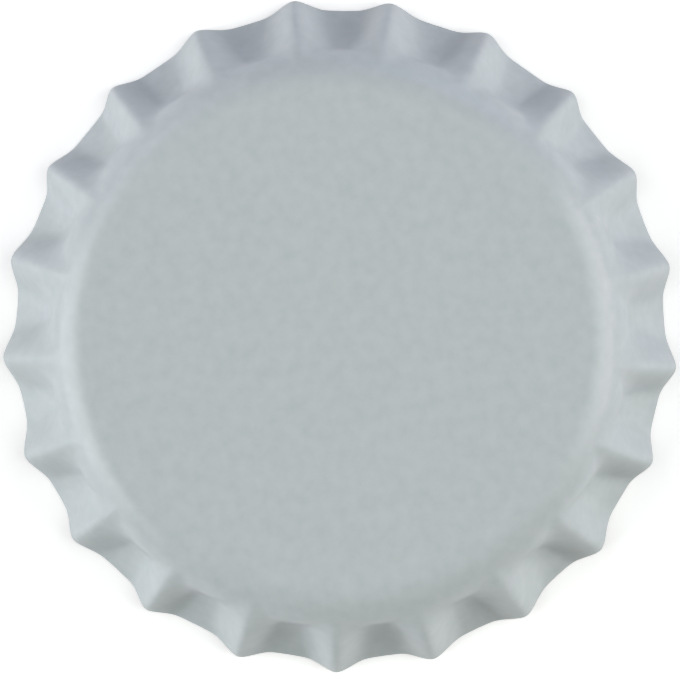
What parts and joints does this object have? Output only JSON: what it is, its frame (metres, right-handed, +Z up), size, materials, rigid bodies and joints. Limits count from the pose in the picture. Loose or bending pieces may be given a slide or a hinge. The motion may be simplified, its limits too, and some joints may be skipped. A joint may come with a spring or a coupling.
{
  "type": "crown bottle cap",
  "caption": "Uncrimped crown cap for a glass bottle: plain lacquered steel shell with a fluted, flared skirt and a moulded sealing liner inside.",
  "frame": {"origin": "centre of the circle on which the rim stands, on the table plane", "axes": "+Z up along the cap's axis, out of the panel; one tooth of the rim points along +X"},
  "size_m": [0.0319, 0.032, 0.006],
  "materials": {
    "lacquered_steel": "pale cool grey-white lacquer on thin steel sheet, satin gloss, bare cut edge at the rim",
    "liner_plastic": "soft off-white moulded sealing compound"
  },
  "bodies": {
    "root": {"shell": "lacquered_steel", "liner": "liner_plastic"}
  },
  "joints": []
}
